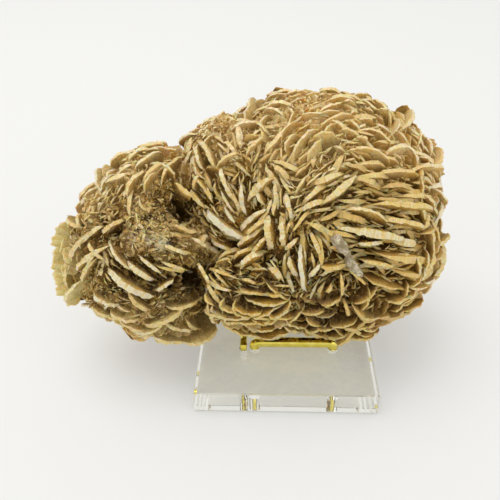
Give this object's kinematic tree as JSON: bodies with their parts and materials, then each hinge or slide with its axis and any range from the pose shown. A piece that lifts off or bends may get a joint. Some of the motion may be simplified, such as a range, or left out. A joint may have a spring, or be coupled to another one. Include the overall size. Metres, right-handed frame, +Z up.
{
  "type": "mineral specimen on stand",
  "caption": "Two-lobed gypsum sand rose with lens-shaped blades, resting on a bent brass rod and rear wires fixed in a clear acrylic block.",
  "frame": {"origin": "centre of the acrylic block's underside", "axes": "+X to the right along the rose's length, +Y to the back, +Z up"},
  "size_m": [0.1733, 0.1052, 0.1069],
  "materials": {
    "gypsum": "matte",
    "clear_acrylic": "gloss",
    "brass": "polished"
  },
  "bodies": {
    "root": {"sand_rose": "gypsum", "acrylic_base": "clear_acrylic", "front_rest": "brass", "back_arm_left": "brass", "back_arm_right": "brass"}
  },
  "joints": []
}
